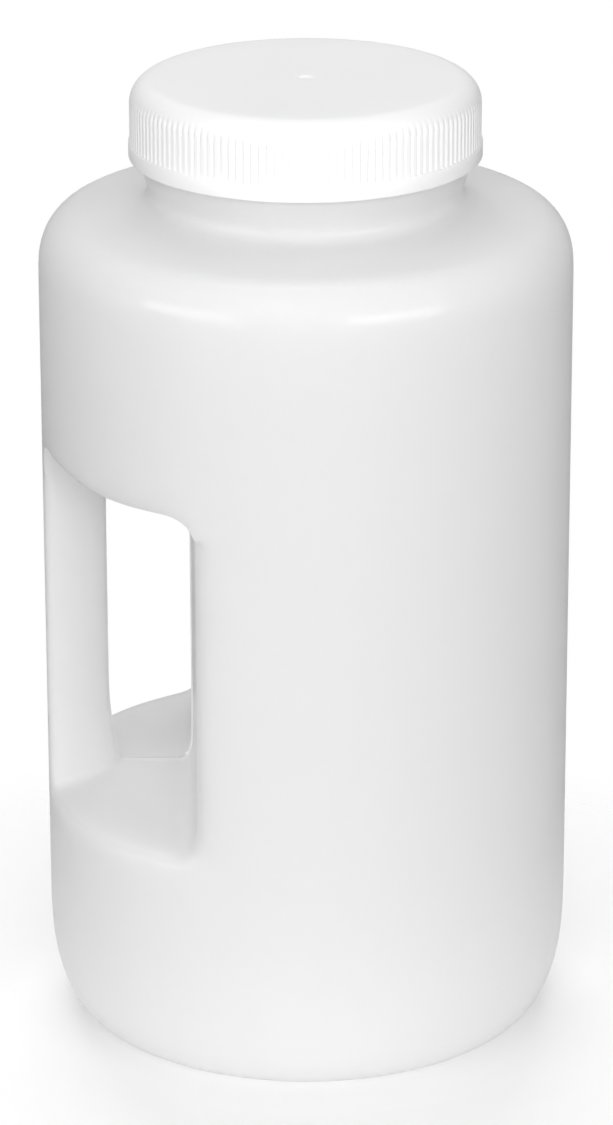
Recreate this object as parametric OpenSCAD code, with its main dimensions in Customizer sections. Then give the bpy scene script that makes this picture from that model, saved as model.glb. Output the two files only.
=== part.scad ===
// Wide-mouth reagent bottle with a pass-through handle, a ribbed screw closure and a ring gasket.
// Millimetres. The bottle stands on Z = 0 and its axis is Z; the handle is on the -X side.
// The blow mould parts on the plane Y = 0, so the bottle is the same in front of it and behind.

/* [Bottle body] */
// Outer diameter of the round body
body_d = 160; // [130:1:200]
// Thickness of the blow-moulded wall
wall = 1.7; // [1.2:0.1:2.2]
// Height at which the straight side ends and the shoulder begins
side_top_z = 240; // [200:1:300]
// Width of the rounded bottom corner, in from the side
corner_w = 13.6; // [10:0.2:20]
// Height of the rounded bottom corner
corner_h = 32.2; // [20:0.2:40]
// Width of the flat ring that the bottle stands on
foot_w = 8; // [4:0.5:14]
// Rise of the base's middle above the ring
push_up = 4; // [2:0.5:8]

/* [Shoulder] */
// Width of the rounded shoulder, in from the side
shoulder_w = 11.3; // [8:0.1:16]
// Height of the rounded shoulder
shoulder_h = 15.3; // [10:0.1:20]
// Slope of the shoulder between its rounding and the neck, in degrees
shoulder_slope = 8; // [5:0.5:14]

/* [Neck] */
// Outer diameter of the neck between its threads
neck_d = 97; // [80:0.5:117]
// Thickness of the neck's wall
neck_wall = 3.5; // [2.8:0.1:4.5]
// Depth of the groove between the shoulder and the neck
groove_depth = 2; // [1:0.1:2.4]
// Height of the groove's straight part
groove_h = 4; // [2:0.5:6]
// Height over which the groove widens to the neck
flare_h = 3.5; // [2:0.5:6]
// Height of the neck above the groove
finish_h = 24.2; // [22:0.2:30]

/* [Handle] */
// Distance of the window's inner face from the bottle's axis, at the mould's parting
window_face = 35.1; // [30:0.1:40]
// Height of the window's floor at the parting
window_floor_z = 78; // [60:1:90]
// Height of the window's ceiling at the parting
window_ceiling_z = 181.5; // [160:1:200]
// Radius of the window's corners next to the body
window_corner_r = 10; // [6:0.5:14]
// Draft that opens the window towards the front and the back, in degrees
window_draft = 1.8; // [0.5:0.1:3]
// Thickness of the grip from the bottle's side to its inner face
grip_w = 18.8; // [15:0.2:23]
// Depth of the grip from front to back, at its outer side
grip_depth = 27; // [22:0.5:32]
// Radius of the grip's outer edges
grip_outer_r = 4.5; // [3:0.1:6]
// Radius of the grip's inner edges
grip_inner_r = 5; // [3:0.1:7]
// Depth of the grip from front to back, at its inner side
grip_inner_depth = 16; // [14:0.5:20]
// Width of the fillet that joins the grip to the window's floor and ceiling
grip_fillet_w = 5; // [3:0.5:7]
// Height of that fillet
grip_fillet_h = 16; // [8:0.5:22]

/* [Closure] */
// Height of the closure's skirt below the bottle's land
skirt_below_land = 17.9; // [16:0.1:20]
// Thickness of the closure's top plate
top_plate = 2.4; // [1.8:0.1:2.8]
// Thickness of the top plate over the gasket
seat_plate = 3.3; // [3.1:0.1:4]
// Thickness of the skirt at the foot of the ribs
skirt_wall = 1.35; // [1.2:0.05:2.5]
// Number of grip ribs round the skirt
rib_count = 140; // [60:1:160]
// Height of the ribs above the skirt
rib_depth = 0.55; // [0.3:0.05:0.8]
// Height of the smooth band at the skirt's lower edge
band_h = 4.7; // [3:0.1:7]
// How far the band stands out beyond the ribs
band_step = 0.4; // [0.2:0.1:1]
// Radius of the rounded edge round the closure's top
top_round_r = 7.1; // [5:0.1:7.5]
// Diameter of the moulding gate's dimple in the middle of the top
gate_d = 4.8; // [3:0.2:8]
// Depth of that dimple
gate_depth = 0.4; // [0.2:0.1:0.8]

/* [Thread and gasket] */
// Rise of the thread in one turn
thread_pitch = 5.08; // [4.2:0.02:6.2]
// Turns of thread on the neck
neck_thread_turns = 1.75; // [1:0.25:2]
// Turns of thread in the closure
closure_thread_turns = 2; // [1:0.25:2]
// Height of each thread above its wall
thread_height = 1.35; // [1.2:0.05:1.6]
// Radial gap between a thread's crest and the other wall
thread_gap = 0.4; // [0.3:0.05:0.6]
// Axial gap between the threads' flanks with the closure tight
flank_gap = 0.35; // [0.3:0.05:0.6]
// Thickness of the gasket
gasket_t = 2; // [1.4:0.1:2.4]
// How far the gasket reaches in over the mouth
gasket_overhang = 1; // [0.5:0.1:1.1]
// Radial gap round the gasket in the closure
gasket_gap = 0.3; // [0.2:0.05:0.5]

/* [Hidden] */
$fn = 96;

// A small length by which solids that join reach into each other
sink = 0.5;
// Steps along each quarter of an elliptical corner, and along the base's dome
corner_steps = 10;
dome_steps = 6;
// Facets round a corner inside a hull
hull_fn = 32;

body_r = body_d / 2;
foot_r = body_r - corner_w;
neck_r = neck_d / 2;
groove_r = neck_r - groove_depth;
mouth_r = neck_r - neck_wall;

// The slope leaves the shoulder's ellipse where the ellipse is as steep as the slope
function shoulder_end(inset) =
    atan2(shoulder_h - inset, (shoulder_w - inset) * tan(shoulder_slope));
function shoulder_exit(inset) = ellipse_arc(
    body_r - shoulder_w, side_top_z, shoulder_w - inset, shoulder_h - inset,
    0, shoulder_end(inset), corner_steps)[corner_steps];
function slope_z(inset, r) =
    shoulder_exit(inset)[1] + (shoulder_exit(inset)[0] - r) * tan(shoulder_slope);

// Points along part of an ellipse, from angle a0 to angle a1
function ellipse_arc(cx, cz, rx, rz, a0, a1, steps) =
    [for (i = [0:steps]) let (a = a0 + (a1 - a0) * i / steps) [cx + rx * cos(a), cz + rz * sin(a)]];

neck_foot_z = slope_z(0, groove_r);
neck_base_z = neck_foot_z + groove_h + flare_h;
land_z = neck_base_z + finish_h;

// Window and grip, measured from the bottle's axis towards -X
grip_face = body_r - grip_w;
recess_reach = body_r + 10;
draft_growth = recess_reach * tan(window_draft);

// Closure, worked out from the neck and the gasket it has to clear
seat_z = land_z + gasket_t;
closure_top_z = seat_z + seat_plate;
closure_bottom_z = land_z - skirt_below_land;
closure_bore_r = neck_r + thread_height + thread_gap;
rib_root_r = closure_bore_r + skirt_wall;
rib_crest_r = rib_root_r + rib_depth;
band_r = rib_crest_r + band_step;
// How far the rounded outline stays clear of the ribs' crests
rib_clear = 0.06;
seat_r = closure_bore_r - 1;
seat_chamfer_h = 1.7;
seat_step_r = mouth_r - 2.5;

// Threads: trapezoids that are wider at the wall than at the crest
thread_root_w = 2.6;
thread_crest_w = 1;
thread_steps = 64;
// Turns over which each end fades, and the share of the height that is left at its tip
thread_fade_turns = 0.06;
thread_fade_height = 0.35;
thread_top_below_land = 2.4;
neck_thread_z = land_z - thread_top_below_land;
flank_slope = (thread_root_w - thread_crest_w) / 2 / thread_height;
thread_spacing = thread_crest_w / 2 + flank_gap + thread_root_w / 2 - flank_slope * thread_gap;
closure_thread_z = neck_thread_z - thread_spacing;

gasket_outer_r = seat_r - gasket_gap;
gasket_inner_r = mouth_r - gasket_overhang;

// ---- Bottle ----

// Base, bottom corner, side and shoulder, from the axis outwards and up, set in by inset
function body_outline(inset) = concat(
    [for (i = [0:dome_steps]) let (r = (foot_r - foot_w) * i / dome_steps)
        [r, inset + push_up * (1 - pow(i / dome_steps, 2))]],
    ellipse_arc(foot_r, corner_h, corner_w - inset, corner_h - inset, -90, 0, corner_steps),
    ellipse_arc(body_r - shoulder_w, side_top_z, shoulder_w - inset, shoulder_h - inset,
        0, shoulder_end(inset), corner_steps));

function neck_outside() = [
    [groove_r, neck_foot_z], [groove_r, neck_foot_z + groove_h],
    [neck_r, neck_base_z], [neck_r, land_z], [0, land_z]];

// The mouth runs past the land so that it cuts clean through
function neck_inside() = [
    [mouth_r, slope_z(wall, mouth_r)], [mouth_r, land_z + sink], [0, land_z + sink]];

// A helical ridge that fades at both ends. It starts at the top, at z = z_top, and runs down
// clockwise as seen from above, which is a right-hand thread. dir is 1 for a ridge that stands
// outwards from wall_r, and -1 for one that stands inwards.
module thread_ridge(wall_r, z_top, turns, dir) {
    steps = round(turns * thread_steps);
    points = [for (i = [0:steps]) let (
            turn = turns * i / steps,
            ends = min(turn, turns - turn) / thread_fade_turns,
            height = thread_height * min(1, thread_fade_height + (1 - thread_fade_height) * ends),
            z = z_top - turn * thread_pitch,
            a = -360 * turn,
            crest_w = thread_root_w - 2 * flank_slope * height,
            root_w = thread_root_w + 2 * flank_slope * sink)
        for (corner = [[-sink, -root_w / 2], [height, -crest_w / 2],
                       [height, crest_w / 2], [-sink, root_w / 2]])
            [(wall_r + dir * corner[0]) * cos(a), (wall_r + dir * corner[0]) * sin(a), z + corner[1]]];
    sides = [for (i = [0:steps - 1]) for (k = [0:3]) let (k2 = (k + 1) % 4)
        for (triangle = [[4 * i + k, 4 * i + k2, 4 * i + 4 + k2],
                         [4 * i + k, 4 * i + 4 + k2, 4 * i + 4 + k]]) triangle];
    last = 4 * steps;
    ends = [[0, 3, 2], [0, 2, 1], [last, last + 1, last + 2], [last, last + 2, last + 3]];
    faces = concat(sides, ends);
    polyhedron(points, dir < 0 ? faces : [for (face = faces) [face[2], face[1], face[0]]]);
}

// One corner piece of the window's outline: a thin round along Y
module window_round(depth_y, z, growth, inset) {
    radius = window_corner_r + inset;
    translate([-window_face + growth + inset - radius, depth_y, z])
        rotate([90, 0, 0]) cylinder(r = radius, h = sink, center = true, $fn = hull_fn);
}

// The window's outline at depth_y, open towards the side of the bottle
module window_slice(depth_y, growth, inset) {
    low = window_floor_z - growth - inset;
    high = window_ceiling_z + growth + inset;
    window_round(depth_y, low + window_corner_r + inset, growth, inset);
    window_round(depth_y, high - window_corner_r - inset, growth, inset);
    translate([-recess_reach - 10, depth_y - sink / 2, low]) cube([1, sink, high - low]);
}

// The recess that forms the window and frees the grip. It opens from the parting to the front
// and to the back, and a positive inset makes it larger, as the wall's inside needs.
module recess(inset) {
    for (side = [-1, 1]) hull() {
        window_slice(0, 0, inset);
        window_slice(side * recess_reach, draft_growth, inset);
    }
}

module grip_section(inset) {
    intersection() {
        circle(r = body_r - inset);
        hull() for (side = [-1, 1]) {
            translate([-body_r + 3, side * (grip_depth / 2 - grip_outer_r)])
                circle(r = grip_outer_r - inset, $fn = hull_fn);
            translate([-grip_face - grip_inner_r, side * (grip_inner_depth / 2 - grip_inner_r)])
                circle(r = grip_inner_r - inset, $fn = hull_fn);
        }
    }
}

// The grip runs past the recess at both ends, into the body
module grip(inset) {
    overlap = 6;
    translate([0, 0, window_floor_z - overlap])
        linear_extrude(window_ceiling_z - window_floor_z + 2 * overlap) grip_section(inset);
}

// Fillet between the grip's inner face and the window's floor, upside down for the ceiling
module grip_fillet(corner_z, up) {
    arc = ellipse_arc(-grip_face + grip_fillet_w, grip_fillet_h, grip_fillet_w, grip_fillet_h,
        180, 270, corner_steps);
    outline = concat(arc, [[-grip_face + grip_fillet_w, -2], [-grip_face - 1, -2],
                           [-grip_face - 1, grip_fillet_h]]);
    flat_depth = grip_inner_depth - 2 * grip_inner_r;
    translate([0, 0, corner_z]) mirror([0, 0, up ? 0 : 1]) rotate([90, 0, 0])
        linear_extrude(flat_depth + 3, center = true) polygon(outline);
}

// The closed body with its recess and grip: the outside with inset 0, or its hollow
module body_form(inset) {
    difference() {
        rotate_extrude() polygon(concat(body_outline(inset), inset > 0 ? neck_inside() : neck_outside()));
        recess(inset);
    }
    grip(inset);
}

module bottle() {
    color([0.93, 0.94, 0.94]) difference() {
        union() {
            body_form(0);
            grip_fillet(window_floor_z, true);
            grip_fillet(window_ceiling_z, false);
            thread_ridge(neck_r, neck_thread_z, neck_thread_turns, 1);
        }
        body_form(wall);
    }
}

// ---- Closure ----

function ribbed_outline() = [for (i = [0:2 * rib_count - 1]) let (
        r = i % 2 == 0 ? rib_crest_r : rib_root_r, a = 180 * i / rib_count) [r * cos(a), r * sin(a)]];

// Rounds the top off and stays just clear of the ribs' crests below the rounding
function closure_outline() = concat(
    [[0, closure_bottom_z - sink], [rib_crest_r + rib_clear, closure_bottom_z - sink]],
    ellipse_arc(rib_crest_r + rib_clear - top_round_r, closure_top_z - top_round_r,
        top_round_r, top_round_r, 0, 90, corner_steps),
    [[0, closure_top_z]]);

// The hollow inside: the bore, the gasket's seat and the shallow step inside the seat
function closure_hollow() = [
    [0, closure_bottom_z - sink], [closure_bore_r, closure_bottom_z - sink],
    [closure_bore_r, seat_z - seat_chamfer_h], [seat_r, seat_z],
    [seat_step_r, seat_z], [seat_step_r, closure_top_z - top_plate], [0, closure_top_z - top_plate]];

module closure() {
    color("white") {
        difference() {
            union() {
                intersection() {
                    translate([0, 0, closure_bottom_z])
                        linear_extrude(closure_top_z - closure_bottom_z + sink)
                            polygon(ribbed_outline());
                    rotate_extrude() polygon(closure_outline());
                }
                translate([0, 0, closure_bottom_z]) cylinder(r = band_r, h = band_h);
            }
            rotate_extrude() polygon(closure_hollow());
            translate([0, 0, closure_top_z - gate_depth]) cylinder(d = gate_d, h = 2 * gate_depth);
        }
        thread_ridge(closure_bore_r, closure_thread_z, closure_thread_turns, -1);
    }
}

// ---- Gasket ----

module gasket() {
    color([0.86, 0.86, 0.84]) translate([0, 0, land_z]) difference() {
        cylinder(r = gasket_outer_r, h = gasket_t);
        translate([0, 0, -sink]) cylinder(r = gasket_inner_r, h = gasket_t + 2 * sink);
    }
}

bottle();
closure();
gasket();
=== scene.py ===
"""The visual model of a wide-mouth reagent bottle with a pass-through handle.

The bottle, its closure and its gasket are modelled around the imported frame, in metres and in the
frame's own axes: Z up along the bottle, the handle on the -X side, the mould parting on Y = 0.
"""
import logging
import math
from dataclasses import dataclass
from enum import Enum
from typing import Any, Callable, Sequence, Union

import bmesh
import bpy
from mathutils import Matrix, Vector


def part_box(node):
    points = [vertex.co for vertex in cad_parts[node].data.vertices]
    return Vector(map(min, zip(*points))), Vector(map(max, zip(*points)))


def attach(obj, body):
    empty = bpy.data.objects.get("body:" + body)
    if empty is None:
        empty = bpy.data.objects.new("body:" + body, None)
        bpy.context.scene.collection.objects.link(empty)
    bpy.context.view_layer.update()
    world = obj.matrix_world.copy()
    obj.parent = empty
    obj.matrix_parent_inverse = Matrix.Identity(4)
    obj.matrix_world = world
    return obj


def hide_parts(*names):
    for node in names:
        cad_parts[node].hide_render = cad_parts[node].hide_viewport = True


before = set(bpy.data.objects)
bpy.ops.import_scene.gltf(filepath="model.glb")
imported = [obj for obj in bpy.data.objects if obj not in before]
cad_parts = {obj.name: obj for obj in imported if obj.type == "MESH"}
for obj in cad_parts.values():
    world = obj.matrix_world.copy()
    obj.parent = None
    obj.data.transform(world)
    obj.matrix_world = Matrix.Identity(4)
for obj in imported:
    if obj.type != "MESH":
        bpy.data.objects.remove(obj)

log = logging.getLogger("reagent_bottle")

MM = 0.001
# Vertices that lie this close to each other are one
WELD = 0.001 * MM
# Places that lie this close to each other are taken as the same
HAIR = 0.01 * MM
Place = tuple[float, float, float]
ProfilePoint = tuple[float, float]


# ---------------------------------------------------------------- modelling


class Part(Enum):
    """What an operator selects."""

    VERTS = "VERT"
    EDGES = "EDGE"
    FACES = "FACE"


def turn_of(place: Vector) -> float:
    """Return the angle of a place round the bottle's axis, from 0 to 360 degrees."""
    return math.degrees(math.atan2(place.y, place.x)) % 360.0


def radius_of(place: Vector) -> float:
    """Return a place's distance from the bottle's axis, in metres."""
    return math.hypot(place.x, place.y)


def ellipse_arc(centre: ProfilePoint, radii: ProfilePoint, start: float, end: float,
                steps: int) -> list[ProfilePoint]:
    """Return points along part of an ellipse.

    Args:
        centre: The ellipse's middle, as radius and height.
        radii: Its half width and half height.
        start: The angle of the first point, in degrees.
        end: The angle of the last point, in degrees.
        steps: How many steps lie between them.

    Returns:
        The points, the first and the last included.
    """
    angles = [math.radians(start + (end - start) * i / steps) for i in range(steps + 1)]
    return [(centre[0] + radii[0] * math.cos(a), centre[1] + radii[1] * math.sin(a)) for a in angles]


class Bench:
    """A piece on the bench: one mesh object that operators shape in edit mode."""

    def __init__(self, name: str, points: Sequence[ProfilePoint], side: float = 1.0) -> None:
        """Draw a wire through points in the plane Y = 0.

        Args:
            name: The new object's name.
            points: Radius and height of each point, in metres.
            side: 1 to draw the wire on the +X side, or -1 for the -X side.
        """
        bpy.ops.object.select_all(action="DESELECT")
        bpy.ops.mesh.primitive_plane_add(size=MM)
        self.obj = bpy.context.object
        self.obj.name = self.obj.data.name = name
        bpy.ops.object.mode_set(mode="EDIT")
        bpy.ops.mesh.select_all(action="SELECT")
        bpy.ops.mesh.merge(type="CENTER")
        places = [Vector((side * r, 0.0, z)) for r, z in points]
        bpy.ops.transform.translate(value=places[0])
        for last, place in zip(places, places[1:]):
            bpy.ops.mesh.extrude_vertices_move(TRANSFORM_OT_translate={"value": place - last})
        bpy.ops.mesh.select_all(action="SELECT")

    def pick(self, part: Part, test: Callable[[Any], bool]) -> int:
        """Select what passes a test, and nothing else.

        Args:
            part: Whether vertices, edges or faces are tested.
            test: A test on the bmesh vertex, edge or face.

        Returns:
            How many passed.
        """
        bpy.ops.mesh.select_mode(type=part.value)
        bpy.ops.mesh.select_all(action="DESELECT")
        mesh = bmesh.from_edit_mesh(self.obj.data)
        group = {Part.VERTS: mesh.verts, Part.EDGES: mesh.edges, Part.FACES: mesh.faces}[part]
        found = [item for item in group if test(item)]
        for item in found:
            item.select_set(True)
        mesh.select_flush_mode()
        bmesh.update_edit_mesh(self.obj.data)
        return len(found)

    def spin(self, degrees: float, steps: int) -> None:
        """Spin what is selected round the bottle's axis."""
        bpy.ops.mesh.spin(steps=steps, angle=-math.radians(degrees), center=(0, 0, 0), axis=(0, 0, 1))

    def scale(self, factors: Place, centre: Place = (0, 0, 0)) -> None:
        """Scale what is selected about a centre."""
        bpy.ops.transform.resize(value=factors, center_override=centre)

    def move(self, by: Place) -> None:
        """Move what is selected."""
        bpy.ops.transform.translate(value=by)

    def turn(self, degrees: float) -> None:
        """Turn what is selected round the bottle's axis, anticlockwise as seen from above."""
        bpy.ops.transform.rotate(value=-math.radians(degrees), orient_axis="Z", center_override=(0, 0, 0))

    def weld(self) -> None:
        """Merge the vertices that lie on each other and turn every face outwards."""
        bpy.ops.mesh.select_all(action="SELECT")
        bpy.ops.mesh.remove_doubles(threshold=WELD)
        bpy.ops.mesh.normals_make_consistent(inside=False)

    def finish_edit(self) -> None:
        """Go back to object mode."""
        bpy.ops.object.mode_set(mode="OBJECT")

    def resume_edit(self) -> None:
        """Go into edit mode again with this piece."""
        bpy.ops.object.select_all(action="DESELECT")
        self.obj.select_set(True)
        bpy.context.view_layer.objects.active = self.obj
        bpy.ops.object.mode_set(mode="EDIT")

    def modify(self, kind: str, **settings: Any) -> None:
        """Add a modifier and apply it.

        Args:
            kind: Blender's name for the modifier's type.
            settings: Its settings.
        """
        bpy.context.view_layer.objects.active = self.obj
        modifier = self.obj.modifiers.new(kind.lower(), kind)
        for name, value in settings.items():
            setattr(modifier, name, value)
        bpy.ops.object.modifier_apply(modifier=modifier.name)

    def smooth(self, degrees: float) -> None:
        """Shade smooth over every edge flatter than an angle."""
        bpy.ops.object.select_all(action="DESELECT")
        self.obj.select_set(True)
        bpy.context.view_layer.objects.active = self.obj
        bpy.ops.object.shade_smooth_by_angle(angle=math.radians(degrees))


# ---------------------------------------------------------------- shader maths

Value = Union["Wire", float, int, tuple]

# A ramp reads values from 0 to 1: these bring a squared radius and a height into its range
AREA_TO_RAMP = 100.0
HEIGHT_TO_RAMP = 4.0


class Shader:
    """A material that is being wired: it makes every node through one method."""

    def __init__(self, name: str) -> None:
        """Make an empty material.

        Args:
            name: The material's name.
        """
        self.material = bpy.data.materials.new(name)
        self.material.use_nodes = True
        self.tree = self.material.node_tree
        self.tree.nodes.clear()
        self.spot = Wire(self, self.node("ShaderNodeTexCoord").outputs["Object"])

    def node(self, kind: str, settings: dict[str, Any] | None = None,
             inputs: dict[str | int, Value] | None = None) -> bpy.types.Node:
        """Make a node.

        Args:
            kind: Blender's name for the node's type.
            settings: Its own settings; a ramp's stops go under the key "stops".
            inputs: A number, colour or link for each of its sockets, by name or number.

        Returns:
            The node.
        """
        made = self.tree.nodes.new(kind)
        for name, value in (settings or {}).items():
            if name == "stops":
                ramp = made.color_ramp.elements
                while len(ramp) < len(value):
                    ramp.new(0.5)
                for stop, (at, level) in zip(ramp, value):
                    stop.position, stop.color = at, (level, level, level, 1.0)
            else:
                setattr(made, name, value)
        for key, value in (inputs or {}).items():
            if isinstance(value, Wire):
                self.tree.links.new(value.socket, made.inputs[key])
            else:
                made.inputs[key].default_value = value
        return made

    def noise(self, scale: float, detail: float = 2.0, roughness: float = 0.5,
              stretch: Place = (1.0, 1.0, 1.0)) -> "Wire":
        """Return a noise from 0 to 1.

        Args:
            scale: Features per metre.
            detail: Octaves of finer noise.
            roughness: How strong the finer octaves are.
            stretch: How often features repeat along each axis, as a share of scale.

        Returns:
            The noise's value.
        """
        at = self.node("ShaderNodeMapping", {"vector_type": "POINT"},
                       {"Vector": self.spot, "Scale": stretch}).outputs[0]
        made = self.node("ShaderNodeTexNoise", {}, {
            "Vector": Wire(self, at), "Scale": scale, "Detail": detail, "Roughness": roughness})
        return Wire(self, made.outputs[0])

    def axis(self, name: str) -> "Wire":
        """Return the X, Y or Z of the shaded spot, in metres."""
        return Wire(self, self.node("ShaderNodeSeparateXYZ", {}, {0: self.spot}).outputs[name])

    def ramp(self, value: "Wire", *stops: tuple[float, float]) -> "Wire":
        """Return value passed through a ramp of (position, level) stops."""
        made = self.node("ShaderNodeValToRGB", {"stops": stops}, {0: value})
        return Wire(self, self.node("ShaderNodeRGBToBW", {}, {0: Wire(self, made.outputs[0])}).outputs[0])

    def between(self, share: "Wire", low: Value, high: Value) -> "Wire":
        """Return the colour that lies share of the way from low to high."""
        made = self.node("ShaderNodeMix", {"data_type": "RGBA"}, {0: share, 6: low, 7: high})
        return Wire(self, made.outputs[2])

    def bump(self, height: "Wire", depth: float) -> "Wire":
        """Return a normal that a height from 0 to 1 roughens, with depth in metres."""
        made = self.node("ShaderNodeBump", {}, {"Height": height * depth, "Distance": 1.0})
        return Wire(self, made.outputs[0])

    def surface(self, shader: bpy.types.Node) -> bpy.types.Material:
        """Give the material its shader and return it."""
        output = self.node("ShaderNodeOutputMaterial")
        self.tree.links.new(shader.outputs[0], output.inputs["Surface"])
        return self.material


class Wire:
    """A node's output, with Python's operators as Math nodes."""

    def __init__(self, shader: Shader, socket: bpy.types.NodeSocket) -> None:
        """Wrap a socket.

        Args:
            shader: The material that the socket is in.
            socket: The output socket.
        """
        self.shader = shader
        self.socket = socket

    def _math(self, operation: str, first: Value, second: Value) -> "Wire":
        """Return the output of one Math node on two values."""
        made = self.shader.node("ShaderNodeMath", {"operation": operation}, {0: first, 1: second})
        return Wire(self.shader, made.outputs[0])

    def __add__(self, other: Value) -> "Wire":
        """Return the sum."""
        return self._math("ADD", self, other)

    def __mul__(self, other: Value) -> "Wire":
        """Return the product."""
        return self._math("MULTIPLY", self, other)

    __radd__ = __add__


# ---------------------------------------------------------------- finishes


@dataclass(frozen=True)
class MilkyPlastic:
    """Blow-moulded polyethylene: milky, half matt, with an uneven wall and faint die lines."""

    thick: Place = (0.96, 0.96, 0.96)
    thin: Place = (0.98, 0.98, 0.98)
    glow: Place = (0.98, 0.98, 0.98)
    glow_share: float = 0.62
    roughness: float = 0.45
    ior: float = 1.5
    shine: float = 0.12
    coat_roughness: float = 0.15
    coat_on_skin: float = 0.75
    coat_in_tunnel: float = 0.9
    tunnel_floor: float = 76.0 * MM
    tunnel_ceiling: float = 182.0 * MM
    tunnel_fade: float = 5.0 * MM
    # The squares of the radii that the change from inside the skin to its outside runs between
    inside_area: float = 0.006
    outside_area: float = 0.00635
    relief_depth: float = 0.06 * MM

    def material(self) -> bpy.types.Material:
        """Return the finished material."""
        s = Shader("milky_polyethylene")
        uneven_wall = s.noise(14.0, 3.0, 0.5, (1.0, 1.0, 0.6))
        die_lines = s.noise(420.0, 2.0, 0.6, (1.0, 1.0, 0.01))
        orange_peel = s.noise(260.0, 2.0, 0.5)
        grain = s.noise(1800.0, 2.0, 0.6)
        colour = s.between(uneven_wall * 0.8 + die_lines * 0.2, (*self.thick, 1.0), (*self.thin, 1.0))
        relief = orange_peel * 0.7 + die_lines * 0.2 + grain * 0.1
        normal = s.bump(relief, self.relief_depth)
        across, back, up = s.axis("X"), s.axis("Y"), s.axis("Z")
        inside_skin = s.ramp((across * across + back * back) * AREA_TO_RAMP,
                             (self.inside_area * AREA_TO_RAMP, 1.0), (self.outside_area * AREA_TO_RAMP, 0.0))
        low, high = self.tunnel_floor, self.tunnel_ceiling
        heights = ((low - self.tunnel_fade, 0.0), (low, 1.0), (high, 1.0), (high + self.tunnel_fade, 0.0))
        in_tunnel = inside_skin * s.ramp(
            up * HEIGHT_TO_RAMP, *((height * HEIGHT_TO_RAMP, level) for height, level in heights))
        coat = self.coat_on_skin + in_tunnel * (self.coat_in_tunnel - self.coat_on_skin)
        plastic = s.node("ShaderNodeBsdfPrincipled", {}, {
            "Base Color": colour,
            "Roughness": self.roughness - 0.06 + orange_peel * 0.12,
            "IOR": self.ior,
            "Specular IOR Level": self.shine,
            "Coat Weight": coat,
            "Coat Roughness": self.coat_roughness,
            "Normal": normal})
        through = s.node("ShaderNodeBsdfTranslucent", {}, {"Color": (*self.glow, 1.0), "Normal": normal})
        both = s.node("ShaderNodeMixShader", {}, {
            0: self.glow_share,
            1: Wire(s, plastic.outputs[0]),
            2: Wire(s, through.outputs[0])})
        return s.surface(both)


@dataclass(frozen=True)
class WhitePlastic:
    """Injection-moulded polypropylene: opaque white with a fine spark-eroded grain."""

    colour: Place = (0.88, 0.88, 0.88)
    colour_in_hollows: Place = (0.85, 0.85, 0.85)
    roughness: float = 0.52
    ior: float = 1.49
    grain_depth: float = 0.03 * MM

    def material(self) -> bpy.types.Material:
        """Return the finished material."""
        s = Shader("white_polypropylene")
        blotches = s.noise(40.0, 3.0)
        grain = s.noise(2600.0, 2.0, 0.6)
        colour = s.between(blotches, (*self.colour_in_hollows, 1.0), (*self.colour, 1.0))
        plastic = s.node("ShaderNodeBsdfPrincipled", {}, {
            "Base Color": colour,
            "Roughness": self.roughness - 0.05 + blotches * 0.1,
            "IOR": self.ior,
            "Normal": s.bump(grain, self.grain_depth)})
        return s.surface(plastic)


@dataclass(frozen=True)
class SoftRubber:
    """The gasket's elastomer: off-white, matt, with a fine moulded grain."""

    colour: Place = (0.74, 0.74, 0.71)
    roughness: float = 0.62
    grain_depth: float = 0.05 * MM

    def material(self) -> bpy.types.Material:
        """Return the finished material."""
        s = Shader("soft_elastomer")
        clouding = s.noise(90.0, 3.0)
        grain = s.noise(1500.0, 3.0, 0.6)
        light = tuple(min(1.0, channel * 1.06) for channel in self.colour)
        rubber = s.node("ShaderNodeBsdfPrincipled", {}, {
            "Base Color": s.between(clouding, (*self.colour, 1.0), (*light, 1.0)),
            "Roughness": self.roughness + grain * 0.15,
            "Normal": s.bump(grain, self.grain_depth)})
        return s.surface(rubber)


@dataclass(frozen=True)
class StudioPaint:
    """The floor's matt pale paint, which fades out into the white round it."""

    colour: Place = (0.85, 0.85, 0.85)
    glow: float = 0.1
    solid_to: float = 0.08
    gone_at: float = 0.2
    grain_depth: float = 0.1 * MM

    def material(self) -> bpy.types.Material:
        """Return the finished material."""
        s = Shader("studio_floor")
        rolled = s.noise(60.0, 2.0)
        across, back = s.axis("X"), s.axis("Y")
        away = across * across + back * back
        cover = s.ramp(away, (self.solid_to ** 2, 1.0), (self.gone_at ** 2, 0.0))
        paint = s.node("ShaderNodeBsdfPrincipled", {}, {
            "Base Color": (*self.colour, 1.0),
            "Emission Color": (1.0, 1.0, 1.0, 1.0),
            "Emission Strength": self.glow,
            "Roughness": 0.8 + rolled * 0.1,
            "Alpha": cover,
            "Normal": s.bump(rolled, self.grain_depth)})
        return s.surface(paint)


def dress(obj: bpy.types.Object, material: bpy.types.Material) -> None:
    """Give a piece its one material."""
    obj.data.materials.clear()
    obj.data.materials.append(material)


# ---------------------------------------------------------------- thread


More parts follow.
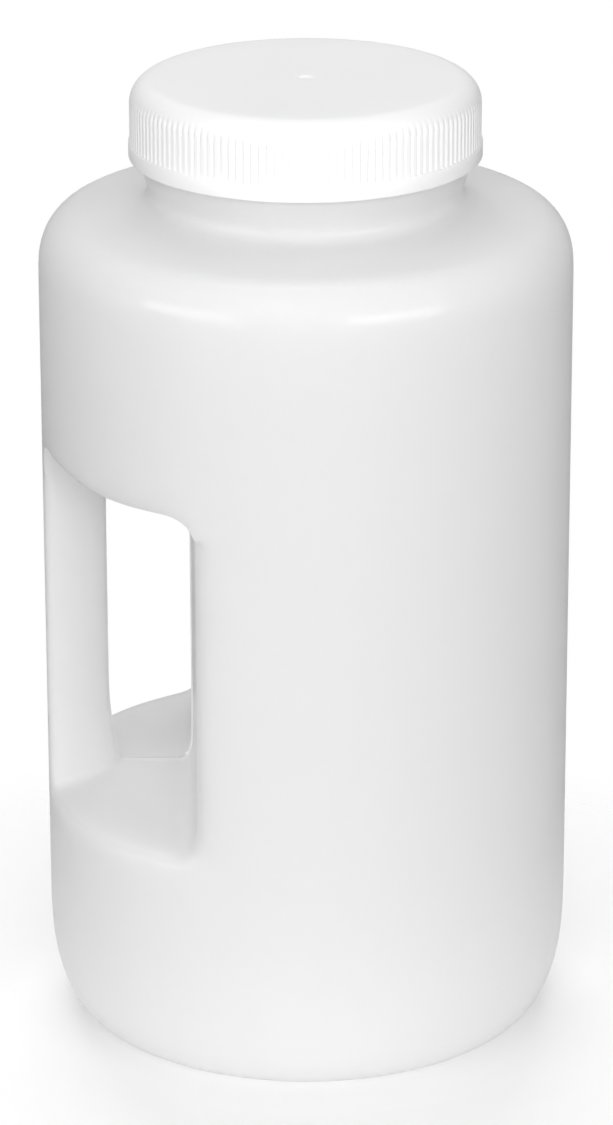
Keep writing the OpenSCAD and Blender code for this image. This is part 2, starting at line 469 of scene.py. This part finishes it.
@dataclass
class Thread:
    """A helical ridge on a neck or in a closure."""

    name: str
    wall: float
    outwards: bool
    top: float
    turns: float
    pitch: float = 5.08 * MM
    height: float = 1.3 * MM
    root_width: float = 2.6 * MM
    crest_width: float = 1.1 * MM
    sunk: float = 0.5 * MM
    steps_per_turn: int = 72
    fade_steps: int = 5

    def build(self) -> bpy.types.Object:
        """Model the ridge as one closed mesh.

        Returns:
            The ridge's object, which a union then joins to its wall.
        """
        way = 1.0 if self.outwards else -1.0
        root = self.wall - way * self.sunk
        crest = self.wall + way * self.height
        half_root, half_crest = self.root_width / 2, self.crest_width / 2
        bench = Bench(self.name, [
            (root, self.top - half_root), (crest, self.top - half_crest),
            (crest, self.top + half_crest), (root, self.top + half_root)])
        bpy.ops.mesh.edge_face_add()
        bpy.ops.mesh.delete(type="ONLY_FACE")
        bench.finish_edit()
        steps = round(self.turns * self.steps_per_turn)
        bench.modify("SCREW", axis="Z", angle=-2 * math.pi * self.turns,
                     screw_offset=-self.pitch * self.turns, steps=steps, render_steps=steps,
                     use_merge_vertices=False)
        bench.resume_edit()
        bpy.ops.mesh.select_all(action="SELECT")
        bpy.ops.mesh.fill_holes(sides=4)
        self._fade_ends(bench, crest, way)
        bench.weld()
        bench.finish_edit()
        return bench.obj

    def _fade_ends(self, bench: Bench, crest: float, way: float) -> None:
        """Lower the crest step by step towards both ends."""
        step_fall = self.pitch / self.steps_per_turn
        length = self.turns * self.pitch
        for end in (0.0, length):
            for step in range(self.fade_steps):
                at = self.top - abs(end - step * step_fall)
                lowered = crest - way * self.height * 0.8 * (1 - step / self.fade_steps)

                def on_crest(vert: bmesh.types.BMVert) -> bool:
                    """Tell whether a vertex is on the crest at this step."""
                    off = abs(abs(vert.co.z - at) - self.crest_width / 2)
                    return off < step_fall / 4 and abs(radius_of(vert.co) - crest) < MM / 50
                if bench.pick(Part.VERTS, on_crest):
                    bench.scale((lowered / crest, lowered / crest, 1.0))


# ---------------------------------------------------------------- bottle


@dataclass(frozen=True)
class TunnelStation:
    """One ring of the tunnel through the handle, on its way from the rim to the parting."""

    depth_share: float
    grip_x: float
    corner_x: float
    body_x: float


@dataclass
class Bottle:
    """The blow-moulded bottle: body, shoulder, threaded neck and hollow grip in one shell."""

    low: Vector
    high: Vector
    wall: float = 1.7 * MM
    neck_wall: float = 3.5 * MM
    push_up: float = 4.0 * MM
    foot_width: float = 8.0 * MM
    corner: ProfilePoint = (13.6 * MM, 32.2 * MM)
    shoulder: ProfilePoint = (11.3 * MM, 15.3 * MM)
    side_top: float = 240.0 * MM
    shoulder_slope: float = 8.0
    neck_radius: float = 48.5 * MM
    groove_radius: float = 46.5 * MM
    finish_height: float = 24.2 * MM
    wall_blend: float = 4.0 * MM
    thread_below_land: float = 2.4 * MM
    thread_turns: float = 1.75
    grip_turns: tuple[float, float] = (180.0, 190.0)
    window_turn: float = 246.0
    rim_low: float = 73.6 * MM
    rim_high: float = 182.9 * MM
    rim_lift: float = 0.22
    rim_lift_from: float = -60.0 * MM
    floor: float = 78.0 * MM
    ceiling: float = 181.5 * MM
    window_corner: float = 9.0 * MM
    rows_below: Sequence[float] = (46.0, 58.0, 66.5)
    rows_above: Sequence[float] = (187.5, 195.0, 212.0, 228.0)
    window_rows: Sequence[float] = (4.0, 9.0, 20.0, 33.0, 46.0, 59.0, 72.0, 85.0, 95.5, 101.5, 106.0)
    corner_turn: float = 8.4
    grip_columns: int = 2
    front_columns: int = 7
    corner_columns: int = 3
    plain_columns: int = 12
    # Keeps the subdivided skin just inside its box
    shrink_margin: float = 0.0001
    fillet_pushes: Sequence[tuple[float, float]] = ((6.5 * MM, 0.34), (13.0 * MM, 0.16))
    rim_crease: float = 0.5
    seam_half_width: float = 0.6 * MM
    seam_on_body_side: float = 0.6 * MM
    seam_on_base: float = 0.45 * MM
    seam_in_tunnel: float = 0.35 * MM
    stations: Sequence[TunnelStation] = (
        TunnelStation(0.90, -74.2 * MM, -73.6 * MM, -32.7 * MM),
        TunnelStation(0.68, -68.5 * MM, -67.0 * MM, -33.4 * MM),
        TunnelStation(0.42, -63.8 * MM, -61.0 * MM, -34.2 * MM),
        TunnelStation(0.18, -61.5 * MM, -58.2 * MM, -34.9 * MM),
        TunnelStation(0.0, -61.2 * MM, -57.6 * MM, -35.1 * MM))

    @property
    def radius(self) -> float:
        """Return the body's outer radius."""
        return self.high.x

    @property
    def land(self) -> float:
        """Return the height of the neck's land."""
        return self.high.z

    def profile(self) -> list[ProfilePoint]:
        """Return the outline from the base's middle out and up to the land."""
        foot = self.radius - self.corner[0]
        ring = foot - self.foot_width
        base = [(ring * t, self.push_up * (1 - t * t)) for t in (0.0, 0.35, 0.65, 0.88)]
        base += [(ring, 0.0), (ring + self.foot_width / 2, 0.0)]
        lower = ellipse_arc((foot, self.corner[1]), self.corner, -90, 0, 6)
        window = [self.rim_low, *(self.rim_low + row * MM for row in self.window_rows), self.rim_high]
        side = [*(row * MM for row in self.rows_below), *window, *(row * MM for row in self.rows_above)]
        exit_angle = math.degrees(math.atan2(
            self.shoulder[1], self.shoulder[0] * math.tan(math.radians(self.shoulder_slope))))
        upper = ellipse_arc((self.radius - self.shoulder[0], self.side_top), self.shoulder,
                            0, exit_angle, 6)
        edge_r, edge_z = upper[-1]
        foot_z = edge_z + (edge_r - self.groove_radius) * math.tan(math.radians(self.shoulder_slope))
        slope = [(edge_r + (self.groove_radius - edge_r) * t, edge_z + (foot_z - edge_z) * t)
                 for t in (0.28, 0.52, 0.72)]
        neck = [(self.groove_radius + 2.2 * MM, foot_z + 0.3 * MM),
                (self.groove_radius + 0.2 * MM, foot_z + 2.6 * MM),
                (self.groove_radius + 0.9 * MM, foot_z + 6.0 * MM),
                (self.neck_radius, foot_z + 9.2 * MM), (self.neck_radius, foot_z + 12 * MM),
                (self.neck_radius, foot_z + 20 * MM), (self.neck_radius, self.land - 1.0 * MM),
                (self.neck_radius - 0.15 * MM, self.land - 0.1 * MM)]
        return base + lower + [(self.radius, z) for z in side] + upper + slope + neck

    def build(self) -> bpy.types.Object:
        """Model the bottle.

        Returns:
            The finished object.
        """
        bench = Bench("bottle_shell", self.profile(), side=-1.0)
        self._spin_front_half(bench)
        self._open_window(bench)
        self._lead_tunnel(bench)
        bench.weld()
        bench.finish_edit()
        bench.modify("MIRROR", use_axis=(False, True, False), use_clip=True, merge_threshold=1e-5)
        self._crease_rim(bench)
        bench.modify("SUBSURF", levels=2, render_levels=2)
        self._raise_seam(bench)
        self._thicken(bench)
        thread = Thread("neck_thread", self.neck_radius - 0.05 * MM, True,
                        self.land - self.thread_below_land, self.thread_turns).build()
        bench.modify("BOOLEAN", operation="UNION", solver="EXACT", object=thread)
        bpy.data.objects.remove(thread)
        bench.smooth(40)
        return bench.obj

    def _spin_front_half(self, bench: Bench) -> None:
        """Spin the profile from the grip round the front to the +X side.

        Subdivision pulls the skin in between columns, so wide-spaced ones are moved out to make up for it.
        """
        grip_start, grip_end = self.grip_turns
        corner_start = self.window_turn - self.corner_turn
        bench.spin(grip_end - grip_start, self.grip_columns)
        bench.spin(corner_start - grip_end, self.front_columns)
        bench.spin(self.corner_turn, self.corner_columns)
        bench.spin(360.0 - self.window_turn, self.plain_columns)
        bench.weld()
        front_step = (corner_start - grip_end) / self.front_columns
        plain_step = (360.0 - self.window_turn) / self.plain_columns
        for first, last, step in ((grip_end + 1, corner_start - 1, front_step),
                                  (self.window_turn - 1, self.window_turn + 1, plain_step / 2),
                                  (self.window_turn + 1, 361.0, plain_step)):
            bench.pick(Part.VERTS, lambda vert: first < (turn_of(vert.co) or 360.0) < last)
            grown = 6 / (4 + 2 * math.cos(math.radians(step))) - self.shrink_margin
            bench.scale((grown, grown, 1.0))

    def _open_window(self, bench: Bench) -> None:
        """Take out the faces between the grip and the body, and round the hole's corners."""
        _, grip_end = self.grip_turns

        def in_window(face: bmesh.types.BMFace) -> bool:
            """Tell whether a face lies in the window."""
            at = face.calc_center_median()
            inside = self.rim_low < at.z < self.rim_high
            return inside and grip_end < turn_of(at) < self.window_turn
        bench.pick(Part.FACES, in_window)
        bpy.ops.mesh.delete(type="FACE")
        self._round_corners(bench)
        self._lift_rim(bench)

    def _on_boundary(self, vert: bmesh.types.BMVert) -> bool:
        """Tell whether a vertex is on the edge of the hole."""
        return vert.is_boundary and vert.co.y < -MM and self.rim_low - MM < vert.co.z < self.rim_high + MM

    def _move_each(self, bench: Bench, shift: Callable[[Vector], ProfilePoint]) -> None:
        """Move each vertex of the hole's edge along the bottle's skin.

        Args:
            bench: The bottle's bench.
            shift: What gives the turn in degrees and the rise in metres for a place.
        """
        mesh = bmesh.from_edit_mesh(bench.obj.data)
        places = [vert.co.copy() for vert in mesh.verts if self._on_boundary(vert)]
        for place in places:
            turn, rise = shift(place)
            if abs(turn) > 1e-6 or abs(rise) > 1e-6:
                bench.pick(Part.VERTS, lambda vert: (vert.co - place).length < HAIR)
                bench.move((0, 0, rise))
                bench.turn(turn)

    def _round_corners(self, bench: Bench) -> None:
        """Bring the hole's edge at the body's side onto two round corners."""
        size = self.window_corner
        per_degree = math.radians(1.0) * self.radius

        def onto_arc(place: Vector) -> ProfilePoint:
            """Return what brings a place onto its corner's arc."""
            aside = size - (self.window_turn - turn_of(place)) * per_degree
            for rim, way in ((self.rim_low, -1), (self.rim_high, 1)):
                rise = size - abs(place.z - rim)
                if aside > 0 and rise > 0:
                    share = min(1.0, size / math.hypot(aside, rise))
                    return aside * (share - 1) / per_degree, way * rise * (share - 1)
            return 0.0, 0.0
        self._move_each(bench, onto_arc)

    def _lift_rim(self, bench: Bench) -> None:
        """Raise the hole's upper edge towards the grip."""

        def lift(place: Vector) -> ProfilePoint:
            """Return the rise of a place on the upper edge."""
            upper = place.z > self.rim_high - MM
            return 0.0, max(0.0, self.rim_lift_from - place.x) * self.rim_lift if upper else 0.0
        self._move_each(bench, lift)

    def _on_rim(self, edge: bmesh.types.BMEdge) -> bool:
        """Tell whether an edge is on the hole's rim."""
        at = (edge.verts[0].co + edge.verts[1].co) / 2
        return edge.is_boundary and at.y < -MM and self.rim_low - MM < at.z < self.rim_high + 6 * MM

    def _lead_tunnel(self, bench: Bench) -> None:
        """Extrude the hole's rim ring by ring to the parting, round the grip and along the body."""
        grip_x = self.radius * math.cos(math.radians(self.grip_turns[1]))
        last = TunnelStation(1.0, grip_x, grip_x, self.radius * math.cos(math.radians(self.window_turn)))

        def heights(station: TunnelStation) -> ProfilePoint:
            """Return the heights of the tunnel's floor and ceiling at a station."""
            share = station.depth_share
            return (self.floor + (self.rim_low - self.floor) * share ** 2,
                    self.ceiling + (self.rim_high - self.ceiling) * share)
        bench.pick(Part.EDGES, self._on_rim)
        for station in self.stations:
            bpy.ops.mesh.extrude_edges_move(TRANSFORM_OT_translate={"value": (0, 0, 0)})
            ring = {vert.index for vert in bmesh.from_edit_mesh(bench.obj.data).verts if vert.select}
            bench.scale((1, station.depth_share / last.depth_share, 1))
            (low, high), (last_low, last_high) = heights(station), heights(last)
            bench.scale((1, 1, (high - low) / (last_high - last_low)), (0, 0, last_low))
            bench.move((0, 0, low - last_low))
            inner = low + MM / 2, high + MM / 2
            grip = {vert.index for vert in bmesh.from_edit_mesh(bench.obj.data).verts
                    if vert.select and inner[0] < vert.co.z < inner[1]
                    and -1.0 * MM < vert.co.x - last.grip_x < 2.5 * MM}
            bench.pick(Part.VERTS, lambda vert: vert.index in grip)
            bench.move((station.grip_x - last.grip_x, 0, 0))
            for reach, push in self.fillet_pushes:
                bench.pick(Part.VERTS, lambda vert: vert.index in grip
                           and min(vert.co.z - low, high - vert.co.z) < reach
                           and abs(vert.co.x - station.grip_x) < 2 * MM)
                bench.move(((station.corner_x - station.grip_x) * push, 0, 0))
            bench.pick(Part.VERTS, lambda vert: vert.index in ring - grip)
            share = (station.body_x - station.corner_x) / (last.body_x - last.corner_x)
            bench.scale((share, 1, 1), (last.body_x, 0, 0))
            bench.move((station.body_x - last.body_x, 0, 0))
            bench.pick(Part.EDGES, lambda edge: all(vert.index in ring for vert in edge.verts))
            last = station

    def _crease_rim(self, bench: Bench) -> None:
        """Keep the window's upper rim crisp."""
        bench.resume_edit()

        def rim_edge(edge: bmesh.types.BMEdge, low: float, high: float) -> bool:
            """Tell whether an edge runs along the rim between two heights."""
            ends = [vert.co for vert in edge.verts]
            on_skin = all(abs(radius_of(end) - self.radius) < MM / 5 for end in ends)
            folded = edge.is_manifold and edge.calc_face_angle(0.0) > 0.6
            return on_skin and folded and all(low < end.z < high for end in ends)
        bench.pick(Part.EDGES, lambda edge: rim_edge(edge, self.rim_high - 12 * MM, self.side_top))
        bpy.ops.transform.edge_crease(value=self.rim_crease)
        bench.finish_edit()

    def _raise_seam(self, bench: Bench) -> None:
        """Raise the thin line that the mould halves leave on the base and round the tunnel."""
        bench.resume_edit()
        for side in (-1, 1):
            bpy.ops.mesh.select_all(action="SELECT")
            bpy.ops.mesh.bisect(plane_co=(0, side * self.seam_half_width, 0), plane_no=(0, 1, 0))

        def height_at(at: Vector) -> float:
            """Return the line's height at a place."""
            if at.z < self.push_up + MM and radius_of(at) < self.radius * 0.7:
                return self.seam_on_base
            if self.floor - MM < at.z < self.ceiling + 6 * MM and -62 * MM < at.x < -30 * MM:
                return self.seam_on_body_side if at.x > -37 * MM else self.seam_in_tunnel
            return 0.0
        for height in (self.seam_on_body_side, self.seam_on_base, self.seam_in_tunnel):
            bench.pick(Part.VERTS, lambda vert: abs(vert.co.y) < HAIR and height_at(vert.co) == height)
            bpy.ops.transform.shrink_fatten(value=height)
        bench.finish_edit()

    def _thicken(self, bench: Bench) -> None:
        """Give the skin its wall, thicker in the neck, and close the land."""
        group = bench.obj.vertex_groups.new(name="wall")
        blend_start = self.land - self.finish_height - self.wall_blend
        for vert in bench.obj.data.vertices:
            at = vert.co
            share = self.wall / self.neck_wall
            if radius_of(at) < self.neck_radius + MM and at.z > blend_start:
                rise = min(1.0, (at.z - blend_start) / self.wall_blend)
                share += (1 - share) * rise
            group.add([vert.index], share, "REPLACE")
        bench.modify("SOLIDIFY", thickness=self.neck_wall, offset=-1.0, use_even_offset=True,
                     use_rim=True, vertex_group="wall")


# ---------------------------------------------------------------- closure


@dataclass
class Closure:
    """The moulded screw closure: ribbed skirt, smooth band, rounded top and gate dimple."""

    low: Vector
    high: Vector
    land: float
    gasket_thickness: float
    ribs: int = 140
    columns_per_rib: int = 4
    rib_depth: float = 0.55 * MM
    band_step: float = 0.4 * MM
    band_height: float = 4.7 * MM
    top_round: float = 7.1 * MM
    groove_top: float = 293.2 * MM
    bore: float = 50.25 * MM
    seat_radius: float = 49.25 * MM
    seat_step: float = 42.5 * MM
    top_plate: float = 2.4 * MM
    gate_radius: float = 2.5 * MM
    gate_depth: float = 0.5 * MM
    skirt_rows: Sequence[float] = (285.5, 282.5, 279.5)
    thread_below_land: float = 4.31 * MM
    thread_turns: float = 2.0

    @property
    def band(self) -> float:
        """Return the smooth band's radius."""
        return self.high.x

    @property
    def skirt(self) -> float:
        """Return the radius over the ribs' crests."""
        return self.band - self.band_step

    @property
    def root(self) -> float:
        """Return the radius at the ribs' feet."""
        return self.skirt - self.rib_depth

    def profile(self) -> list[ProfilePoint]:
        """Return the outline from the middle of the top, down outside and up inside."""
        top, bottom = self.high.z, self.low.z
        seat = self.land + self.gasket_thickness
        ledge = bottom + self.band_height
        gate = [(self.gate_radius * t, top - self.gate_depth * (1 - t ** 4)) for t in (0, 0.35, 0.62, 0.84)]
        gate += [(self.gate_radius, top - 0.02 * MM), (self.gate_radius + 0.35 * MM, top)]
        flat = [(r * MM, top) for r in (8, 20, 32, 40)]
        rounding = ellipse_arc((self.skirt - self.top_round, top - self.top_round),
                               (self.top_round, self.top_round), 90, 0, 11)
        skirt = [(self.skirt, row * MM) for row in self.skirt_rows]
        band = [(self.skirt, ledge + 0.25 * MM), (self.skirt + 0.05 * MM, ledge + 0.05 * MM),
                (self.band - 0.12 * MM, ledge - 0.15 * MM), (self.band, ledge - 0.4 * MM),
                (self.band, bottom + 0.5 * MM), (self.band - 0.15 * MM, bottom + 0.12 * MM),
                (self.band - 0.5 * MM, bottom)]
        inside = [(self.bore + 0.5 * MM, bottom), (self.bore + 0.15 * MM, bottom + 0.15 * MM),
                  (self.bore, bottom + 0.6 * MM), (self.bore, 280 * MM), (self.bore, seat - 1.7 * MM),
                  (self.seat_radius, seat - 0.2 * MM), (self.seat_radius - 0.2 * MM, seat),
                  (self.seat_step + 0.1 * MM, seat), (self.seat_step, seat + 0.1 * MM),
                  (self.seat_step - 0.2 * MM, top - self.top_plate), (20 * MM, top - self.top_plate),
                  (0.0, top - self.top_plate)]
        return gate + flat + rounding + skirt + band + inside

    def build(self) -> bpy.types.Object:
        """Model the closure.

        Returns:
            The finished object.
        """
        bench = Bench("screw_closure", self.profile())
        bench.spin(360.0, self.ribs * self.columns_per_rib)
        bench.weld()
        self._cut_grooves(bench)
        bench.finish_edit()
        thread = Thread("closure_thread", self.bore, False,
                        self.land - self.thread_below_land, self.thread_turns).build()
        bench.modify("BOOLEAN", operation="UNION", solver="EXACT", object=thread)
        bpy.data.objects.remove(thread)
        bench.smooth(35)
        return bench.obj

    def _cut_grooves(self, bench: Bench) -> None:
        """Press in the grooves between the ribs, less and less deep up the rounding."""
        pitch = 360.0 / self.ribs
        ledge = self.low.z + self.band_height

        def in_groove(vert: bmesh.types.BMVert, low: float, high: float) -> bool:
            """Tell whether a vertex is in a groove's middle, at a radius from low to high."""
            off = turn_of(vert.co) % pitch
            centred = min(off, pitch - off) < pitch / self.columns_per_rib / 2
            return centred and vert.co.z > ledge + 0.1 * MM and low < radius_of(vert.co) < high
        levels: dict[float, float] = {}
        for vert in bmesh.from_edit_mesh(bench.obj.data).verts:
            if in_groove(vert, self.skirt - 3 * MM, self.skirt + MM / 50):
                levels.setdefault(round(vert.co.z, 6), radius_of(vert.co))
        for level, radius in levels.items():
            fade = (self.groove_top - level) / (self.groove_top - self.high.z + self.top_round)
            depth = self.rib_depth * max(0.0, min(1.0, fade))
            bench.pick(Part.VERTS, lambda vert: abs(vert.co.z - level) < MM / 500
                       and in_groove(vert, self.skirt - 3 * MM, self.skirt + MM / 50))
            share = (radius - depth) / radius
            bench.scale((share, share, 1.0))


# ---------------------------------------------------------------- gasket


@dataclass
class Gasket:
    """The soft ring that seals the closure on the land, with a shallow groove in its top."""

    low: Vector
    high: Vector
    overhang: float = 1.0 * MM
    mouth: float = 45.0 * MM
    edge: float = 0.25 * MM
    groove: tuple[float, float] = (45.2 * MM, 46.6 * MM)
    groove_depth: float = 0.2 * MM
    groove_slant: float = 0.4 * MM
    columns: int = 192

    def profile(self) -> list[ProfilePoint]:
        """Return the ring's closed outline."""
        outer, inner = self.high.x, self.mouth - self.overhang
        low, high, edge = self.low.z, self.high.z, self.edge
        groove_in, groove_out = self.groove
        groove = [(groove_out, high), (groove_out - self.groove_slant, high - self.groove_depth),
                  (groove_in + self.groove_slant, high - self.groove_depth), (groove_in, high)]
        return [(inner + edge, low), (outer - edge, low), (outer, low + edge), (outer, high - edge),
                (outer - edge, high), *groove, (inner + edge, high), (inner, high - edge),
                (inner, low + edge), (inner + edge, low)]

    def build(self) -> bpy.types.Object:
        """Model the gasket.

        Returns:
            The finished object.
        """
        bench = Bench("sealing_gasket", self.profile())
        bench.spin(360.0, self.columns)
        bench.weld()
        bench.finish_edit()
        bench.smooth(30)
        return bench.obj


# ---------------------------------------------------------------- studio


@dataclass(frozen=True)
class SoftBox:
    """A rectangular soft light: where it hangs round the bottle, its size and its brightness."""

    name: str
    swing: float
    rise: float
    distance: float
    width: float
    height: float
    radiance: float
    in_gloss: bool = True


@dataclass
class Studio:
    """The floor, the soft lights and the camera."""

    middle: Place = (0.0, 0.0, 142.8 * MM)
    camera_distance: float = 1572.0 * MM
    camera_elevation: float = 20.41
    camera_roll: float = -0.135
    lens: float = 164.7
    sensor_width: float = 36.0
    sees_to: float = 50.0
    floor_size: float = 2.0
    sky: float = 0.2
    backdrop: float = 1.0
    boxes: Sequence[SoftBox] = (
        SoftBox("box_left", -50.0, 14.0, 2.2, 1.6, 0.55, 6.2),
        SoftBox("box_right", 38.0, 14.0, 2.2, 1.6, 0.55, 7.6),
        SoftBox("box_front", -2.0, 22.0, 2.4, 1.4, 1.0, 6.8, False),
        SoftBox("box_back", 184.0, 36.0, 2.4, 1.8, 1.2, 5.2, False),
        SoftBox("box_above", 180.0, 89.0, 2.0, 1.4, 0.55, 3.2))

    def build(self) -> None:
        """Set the floor, the light and the camera up."""
        self._floor()
        self._world()
        for box in self.boxes:
            self._hang(box)
        self._camera()
        bpy.context.scene.view_settings.view_transform = "Standard"

    def _floor(self) -> None:
        """Lay the pale floor under the bottle."""
        bpy.ops.object.select_all(action="DESELECT")
        bpy.ops.mesh.primitive_plane_add(size=self.floor_size)
        floor = bpy.context.object
        floor.name = "studio_floor"
        dress(floor, StudioPaint().material())

    def _world(self) -> None:
        """Surround the bottle with white that itself lights it only a little."""
        world = bpy.data.worlds.new("studio_sky")
        world.use_nodes = True
        nodes, links = world.node_tree.nodes, world.node_tree.links
        dim, white = nodes["Background"], nodes.new("ShaderNodeBackground")
        for background, strength in ((dim, self.sky), (white, self.backdrop)):
            background.inputs["Color"].default_value = (1, 1, 1, 1)
            background.inputs["Strength"].default_value = strength
        both = nodes.new("ShaderNodeMixShader")
        links.new(nodes.new("ShaderNodeLightPath").outputs["Is Camera Ray"], both.inputs[0])
        links.new(dim.outputs[0], both.inputs[1])
        links.new(white.outputs[0], both.inputs[2])
        links.new(both.outputs[0], nodes["World Output"].inputs["Surface"])
        bpy.context.scene.world = world

    def _hang(self, box: SoftBox) -> None:
        """Hang a soft box that looks at the bottle's middle.

        Args:
            box: The soft box.
        """
        swing, rise = math.radians(box.swing), math.radians(box.rise)
        away = Vector((math.sin(swing) * math.cos(rise), -math.cos(swing) * math.cos(rise), math.sin(rise)))
        bpy.ops.object.light_add(type="AREA", location=Vector(self.middle) + away * box.distance)
        lamp = bpy.context.object
        lamp.name = box.name
        lamp.data.shape = "RECTANGLE"
        lamp.data.size, lamp.data.size_y = box.width, box.height
        lamp.data.energy = box.radiance * math.pi * box.width * box.height
        lamp.rotation_euler = (-away).to_track_quat("-Z", "Y").to_euler()
        lamp.visible_glossy = box.in_gloss
        lamp.visible_camera = False

    def _camera(self) -> None:
        """Aim the camera at the bottle."""
        data = bpy.data.cameras.new("camera")
        camera = bpy.data.objects.new("camera", data)
        bpy.context.scene.collection.objects.link(camera)
        tilt = math.radians(self.camera_elevation)
        away = Vector((0.0, -math.cos(tilt), math.sin(tilt))) * self.camera_distance
        camera.location = Vector(self.middle) + away
        roll = Matrix.Rotation(math.radians(self.camera_roll), 4, "Z")
        camera.rotation_euler = ((-away).to_track_quat("-Z", "Y").to_matrix().to_4x4() @ roll).to_euler()
        data.lens = self.lens
        data.sensor_width = self.sensor_width
        data.clip_end = self.sees_to
        bpy.context.scene.camera = camera


# ---------------------------------------------------------------- assembly


def put_on_frame(obj: bpy.types.Object, material: bpy.types.Material, body: str, node: str) -> None:
    """Dress a piece and put it in its node's place.

    Args:
        obj: The finished piece.
        material: Its material.
        body: The body that it rides on.
        node: The CAD node that it stands for.
    """
    dress(obj, material)
    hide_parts(node)
    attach(obj, body)
    log.info("%s: %d faces, on body %s", obj.name, len(obj.data.polygons), body)


def main() -> None:
    """Build the bottle, its closure and its gasket, then the studio round them."""
    logging.basicConfig(level=logging.INFO, format="%(name)s: %(message)s")
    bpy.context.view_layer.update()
    bottle_low, bottle_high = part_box("bottle")
    closure_low, closure_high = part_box("closure")
    gasket_low, gasket_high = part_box("gasket")
    bottle = Bottle(bottle_low, bottle_high)
    closure = Closure(closure_low, closure_high, bottle.land, gasket_high.z - gasket_low.z)
    gasket = Gasket(gasket_low, gasket_high)
    put_on_frame(bottle.build(), MilkyPlastic().material(), "vessel", "bottle")
    put_on_frame(closure.build(), WhitePlastic().material(), "cap", "closure")
    put_on_frame(gasket.build(), SoftRubber().material(), "seal", "gasket")
    Studio().build()


if __name__ == "__main__":
    main()
